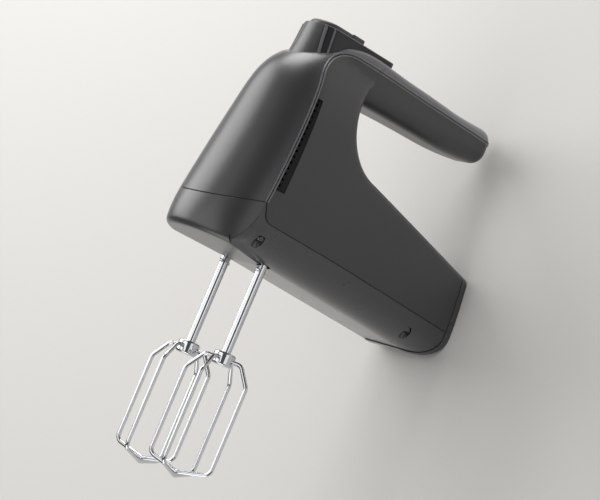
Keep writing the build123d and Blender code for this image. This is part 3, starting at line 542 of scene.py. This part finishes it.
def lip(name, piece, radius, test):
    """A rolled lip along the outward edges of a piece that pass a test."""
    bead = copied_out(name, piece, "EDGE", lambda edge: is_sharp(edge) and test(edge))
    bpy.ops.object.convert(target="CURVE")
    bead.data.bevel_depth = radius
    bead.data.bevel_resolution = BEAD_ROUNDNESS
    bead.data.use_fill_caps = True
    bpy.ops.object.convert(target="MESH")
    smooth(bead, BEAD_ANGLE)
    return bead


def on_groove(edge):
    """Whether an edge borders the groove in front of the side shells."""
    away = [abs(from_groove(drawn(v.co)) - GROOVE_WIDTH / 2) for v in edge.verts]
    return max(away) < GROOVE_TOLERANCE


def looks_out(face, side, share):
    """Whether a face on one side of the middle plane looks away from it by more than a share."""
    return face.normal.y * side > share * abs(side)


def on_console_rim(edge):
    """Whether an edge lies on the outer border of the console's top."""
    high = all(abs(drawn(v.co).y - CONSOLE_TOP) < RIM_TOLERANCE for v in edge.verts)
    side = edge.verts[0].co.y
    return high and any(looks_out(face, side, RIM_OUTWARD) for face in edge.link_faces)


def placed(x, y, z):
    """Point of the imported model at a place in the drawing."""
    return Vector(((z - STAND_Z) * MM, y * MM, (HEEL_X - x) * MM))


def skin_point(piece, start, direction):
    """Where a ray meets the skin of a piece."""
    hit, place, normal, _ = piece.ray_cast(start, direction)
    if not hit:
        raise RuntimeError(f"{piece.name} has no skin at {start}")
    return place - normal * BLEND_SINK * MM


def blend_rows(side, cap, base):
    """Both ends of each line of a blend: by the nose cap's edge, and where it runs out on the base."""
    inward = Vector((0, -side, 0))
    up = Vector((1, 0, 0))
    beside = side * 2 * STAND_Z
    ends = []
    for x, z, out_z in BLEND_SIDE:
        near = skin_point(cap, placed(x - BLEND_SEAM, beside, z), inward)
        far = skin_point(base, placed(BLEND_SIDE_X, beside, out_z), inward)
        ends.append((near, far))
    for x, y, out_x, out_y in BLEND_FLOOR:
        near = skin_point(cap, placed(x - BLEND_SEAM, side * (y - BLEND_SEAM), -STAND_Z), up)
        far = skin_point(base, placed(out_x, side * out_y, -STAND_Z), up)
        ends.append((near, far))
    back = Vector((0, 0, -2 * BLEND_SEAM * MM))
    return [(near + back, far) for near, far in ends]


def blend_point(near, far, t):
    """Point at a share of a curve that leaves both of its ends straight along the mixer."""
    pull = Vector((0, 0, (far.z - near.z) / 3))
    rest = 1 - t
    ends = rest ** 3 * near + t ** 3 * far
    return ends + 3 * rest ** 2 * t * (near + pull) + 3 * rest * t ** 2 * (far - pull)


def blend_corner(name, side, cap, base):
    """Surface that leads the rounded edge of the base into the corner of the nose cap."""
    rows = blend_rows(side, cap, base)
    last = len(rows) - 1
    bpy.ops.object.select_all(action="DESELECT")
    bpy.ops.mesh.primitive_grid_add(x_subdivisions=last, y_subdivisions=BLEND_STEPS, size=2)
    piece = bpy.context.object
    piece.name = name
    # The grid reaches from -1 to 1 both ways: from row to row, and along each row
    for vertex in piece.data.vertices:
        near, far = rows[round((vertex.co.x + 1) / 2 * last)]
        vertex.co = blend_point(near, far, (vertex.co.y + 1) / 2)
    bpy.ops.object.mode_set(mode="EDIT")
    bpy.ops.mesh.select_all(action="SELECT")
    bpy.ops.mesh.normals_make_consistent(inside=False)
    mesh = bmesh.from_edit_mesh(piece.data)
    if sum(face.normal.y * -side * face.calc_area() for face in mesh.faces) > 0:
        bpy.ops.mesh.flip_normals()
    bpy.ops.object.mode_set(mode="OBJECT")
    wall = piece.modifiers.new("wall", "SOLIDIFY")
    wall.thickness = bpy.context.scene.mixer_sizes.web
    wall.offset = -1
    bpy.ops.object.modifier_apply(modifier=wall.name)
    smooth(piece, BLEND_ANGLE)
    return piece


def rib(name, piece, x):
    """A raised strip on one ridge of the console; its light trim finish is a painted highlight."""
    def on_ridge(face):
        places = [drawn(v.co).x - x for v in face.verts]
        within = -RIDGE_TOLERANCE < min(places) and max(places) < RIDGE_WIDTH + RIDGE_TOLERANCE
        return within and looks_out(face, face.verts[0].co.y, RIDGE_OUTWARD)

    strip = copied_out(name, piece, "FACE", on_ridge)
    rise = strip.modifiers.new("rise", "SOLIDIFY")
    rise.thickness = bpy.context.scene.mixer_sizes.rib
    rise.offset = 1
    bpy.ops.object.modifier_apply(modifier=rise.name)
    smooth(strip, RIB_ANGLE)
    return strip


def cut(piece, *boxes):
    """Cut boxes, each given by its middle and size, out of a piece."""
    bpy.ops.object.select_all(action="DESELECT")
    cutters = []
    for middle, size in boxes:
        bpy.ops.mesh.primitive_cube_add(size=1, location=middle, scale=size)
        cutters.append(bpy.context.object)
    for cutter in cutters:
        only(cutter)
        bpy.ops.object.transform_apply()
        only(piece)
        notch = piece.modifiers.new("notch", "BOOLEAN")
        notch.operation = "DIFFERENCE"
        notch.solver = "EXACT"
        notch.object = cutter
        bpy.ops.object.modifier_apply(modifier=notch.name)
        bpy.data.objects.remove(cutter)


def case_screw(name, x, y, z):
    """One pan-head screw with a cross recess, seated at a place in the drawing."""
    bpy.ops.object.select_all(action="DESELECT")
    head_z = -SCREW_HEAD_DEPTH * MM / 2
    bpy.ops.mesh.primitive_cylinder_add(
        vertices=SCREW_HEAD_SIDES, radius=SCREW_HEAD_R * MM, depth=SCREW_HEAD_DEPTH * MM,
        location=(0, 0, head_z),
    )
    screw = bpy.context.object
    screw.name = name
    bpy.ops.object.transform_apply()
    dome = screw.modifiers.new("dome", "BEVEL")
    dome.width = SCREW_HEAD_R * MM * SCREW_DOME
    dome.segments = SCREW_DOME_STEPS
    dome.limit_method = "ANGLE"
    bpy.ops.object.modifier_apply(modifier=dome.name)
    width, span, depth = (size * MM for size in SCREW_CROSS)
    end = (0, 0, -SCREW_HEAD_DEPTH * MM)
    cut(screw, (end, (width, span, 2 * depth)), (end, (span, width, 2 * depth)))
    bpy.ops.mesh.primitive_cylinder_add(
        vertices=SCREW_SHANK_SIDES, radius=SCREW_SHANK_R * MM, depth=SCREW_LENGTH * MM,
        location=(0, 0, SCREW_LENGTH * MM / 2),
    )
    screw.select_set(True)
    bpy.context.view_layer.objects.active = screw
    bpy.ops.object.join()
    only(screw)
    screw.rotation_euler = (0, radians(90), 0)
    screw.location = placed(x, y, z)
    bpy.ops.object.transform_apply()
    smooth(screw, SCREW_ANGLE)
    return screw


class MIXER_OT_shells(bpy.types.Operator):
    """Finish the nose, the base, the heel and the top cover"""

    bl_idname = "mixer.shells"
    bl_label = "Shells"

    def execute(self, context):
        sizes = context.scene.mixer_sizes
        shells = {}
        for node, slot in (("nose_shell", "nose"), ("nose_cap", "nose"), ("base_shell", "base"),
                           ("heel_cap", "base"), ("handle_top_cover", "trim")):
            piece = merged(node + "_moulding", node)
            shells[node] = piece
            if node in ("nose_shell", "handle_top_cover"):
                bead = lip(node + "_lip", piece, sizes.lip, on_groove)
                # The lip takes the light trim finish: a painted highlight along the groove's edge
                place_piece(bead, "housing", "trim")
            smooth(piece, MOULDING_ANGLE)
            place_piece(piece, "housing", slot, node)
        context.view_layer.update()
        for name, side in (("left_base_corner", -1), ("right_base_corner", 1)):
            corner = blend_corner(name, side, shells["nose_cap"], shells["base_shell"])
            place_piece(corner, "housing", "base")
        return {"FINISHED"}


class MIXER_OT_sides(bpy.types.Operator):
    """Finish the two side shells with their halves of the handle, and their vents"""

    bl_idname = "mixer.sides"
    bl_label = "Side shells"

    def execute(self, context):
        sizes = context.scene.mixer_sizes
        for side in ("left", "right"):
            nodes = (f"{side}_housing", f"{side}_handle")
            piece = merged(f"{side}_side_shell", *nodes)
            bead = lip(f"{side}_side_shell_lip", piece, sizes.lip, on_groove)
            # The lip takes the light trim finish: a painted highlight along the groove's edge
            place_piece(bead, "housing", "trim")
            open_joint(piece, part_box(f"{side}_handle")[1][2])
            smooth(piece, MOULDING_ANGLE)
            place_piece(piece, "housing", "housing", *nodes)
            vent = smoothed(f"{side}_louvre", LOUVRE_ANGLE, f"{side}_vent")
            place_piece(vent, "housing", "vents", f"{side}_vent")
        return {"FINISHED"}


class MIXER_OT_controls(bpy.types.Operator):
    """Finish the console, the button, the slider and the cord inlet"""

    bl_idname = "mixer.controls"
    bl_label = "Controls"

    def execute(self, context):
        sizes = context.scene.mixer_sizes
        for node, body, slot in (("control_console", "housing", "controls"),
                                 ("eject_button", "ejector", "controls"),
                                 ("speed_slider", "slider", "controls"),
                                 ("cord_inlet", "housing", "grommet")):
            piece = merged(node + "_moulding", node)
            if node == "control_console":
                # The rim lip and the ridge strips take the light trim finish as a painted highlight
                bead = lip("console_rim_lip", piece, sizes.rim, on_console_rim)
                place_piece(bead, "housing", "trim")
                for name, x in zip(("front_rib", "rear_rib"), RIDGES):
                    place_piece(rib(name, piece, x), "housing", "trim")
            if node == "speed_slider":
                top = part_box(node)[1][0]
                groove = (2 * GRIP_DEPTH * MM, STAND_Z * MM, GRIP_WIDTH * MM)
                cut(piece, *[((top, 0, (HEEL_X - x) * MM), groove) for x in GRIPS])
            smooth(piece, MOULDING_ANGLE)
            place_piece(piece, body, slot, node)
            if node in ("eject_button", "speed_slider"):
                finish_as(piece, "keys")
        return {"FINISHED"}


class MIXER_OT_screws(bpy.types.Operator):
    """Make the four screws in the pockets of the base"""

    bl_idname = "mixer.screws"
    bl_label = "Screws"

    def execute(self, context):
        for row, (x, y, z) in zip(("front", "rear"), SCREWS):
            for side, turn in (("left", -1), ("right", 1)):
                screw = case_screw(f"{row}_{side}_screw", x, turn * y, z)
                # The dark fastener finish paints the pockets' shade onto the screw heads
                place_piece(screw, "housing", "fastener", "case_screws")
        return {"FINISHED"}


class MIXER_OT_beaters(bpy.types.Operator):
    """Finish the two beaters"""

    bl_idname = "mixer.beaters"
    bl_label = "Beaters"

    def execute(self, context):
        for side in ("left", "right"):
            for part in ("beater_shaft", "beater_hub", "outer_loop", "inner_loop"):
                node = f"{side}_{part}"
                piece = smoothed(node + "_wire", WIRE_ANGLE, node)
                place_piece(piece, f"{side}_beater", "wire", node)
        return {"FINISHED"}


class MIXER_OT_works(bpy.types.Operator):
    """Give every node that stays its finish, and make the return spring a smoothed piece of its own"""

    bl_idname = "mixer.works"
    bl_label = "Works"

    def execute(self, context):
        for part in frame["record"]["subparts"]:
            finish_as(frame["nodes"][part["node"]], part["material_slot"])
        # The spring stands on its lower end; here it only becomes a smoothed piece with a mesh of its
        # own
        spring = smoothed("return_spring", MOULDING_ANGLE, "eject_spring")
        place_piece(spring, "housing", "fastener", "eject_spring")
        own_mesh(spring)
        return {"FINISHED"}


class MIXER_OT_stage(bpy.types.Operator):
    """Lay the floor, light it and set the camera"""

    bl_idname = "mixer.stage"
    bl_label = "Stage"

    def execute(self, context):
        scene = context.scene
        bpy.ops.object.select_all(action="DESELECT")
        bpy.ops.mesh.primitive_plane_add(size=FLOOR_SIZE)
        floor = context.object
        floor.name = "floor"
        floor.data.materials.append(paper("studio paper", scene.mixer_colours.floor))
        for name, place, size, power in LAMPS:
            bpy.ops.object.light_add(type="AREA", location=place)
            lamp = context.object
            lamp.name = name
            lamp.data.size = size
            lamp.data.energy = power
            lamp.visible_camera = False
            lamp.rotation_euler = (LAMP_TARGET - lamp.location).to_track_quat("-Z", "Y").to_euler()
        world = bpy.data.worlds.new("studio")
        world.use_nodes = True
        sky = world.node_tree.nodes["Background"]
        sky.inputs["Color"].default_value = rgba(linear(WORLD_COLOUR))
        sky.inputs["Strength"].default_value = WORLD_STRENGTH
        scene.world = world
        bpy.ops.object.camera_add(location=CAMERA_PLACE)
        camera = context.object
        camera.name = "photo_camera"
        camera.data.sensor_width = SENSOR_MM
        camera.data.lens = SENSOR_MM * FOCAL_PX / FRAME_WIDTH_PX
        camera.data.clip_end = CAMERA_REACH
        right = CAMERA_FORWARD.cross(CAMERA_UP)
        camera.rotation_euler = Matrix((right, CAMERA_UP, -CAMERA_FORWARD)).transposed().to_euler()
        scene.camera = camera
        scene.view_settings.view_transform = "Standard"
        return {"FINISHED"}


class MIXER_PT_panel(bpy.types.Panel):
    """Sidebar panel with the mixer's settings and steps"""

    bl_label = "Hand mixer"
    bl_idname = "MIXER_PT_panel"
    bl_space_type = "VIEW_3D"
    bl_region_type = "UI"
    bl_category = "Mixer"

    def draw(self, context):
        """List the settings and the steps."""
        for group in (context.scene.mixer_colours, context.scene.mixer_sizes):
            for name in group.__annotations__:
                self.layout.prop(group, name)
        for step in STEPS:
            self.layout.operator(step.bl_idname)


STEPS = (MIXER_OT_works, MIXER_OT_shells, MIXER_OT_sides, MIXER_OT_controls, MIXER_OT_screws,
         MIXER_OT_beaters, MIXER_OT_stage)
CLASSES = (MixerColours, MixerSizes, *STEPS, MIXER_PT_panel)


def register():
    """Add the settings and steps to Blender."""
    for cls in CLASSES:
        bpy.utils.register_class(cls)
    bpy.types.Scene.mixer_colours = PointerProperty(type=MixerColours)
    bpy.types.Scene.mixer_sizes = PointerProperty(type=MixerSizes)


def unregister():
    """Take them out again."""
    del bpy.types.Scene.mixer_sizes
    del bpy.types.Scene.mixer_colours
    for cls in reversed(CLASSES):
        bpy.utils.unregister_class(cls)


def main():
    """Register the add-on and run its steps in order."""
    register()
    bpy.ops.mixer.works()
    bpy.ops.mixer.shells()
    bpy.ops.mixer.sides()
    bpy.ops.mixer.controls()
    bpy.ops.mixer.screws()
    bpy.ops.mixer.beaters()
    bpy.ops.mixer.stage()


if __name__ == "__main__":
    main()
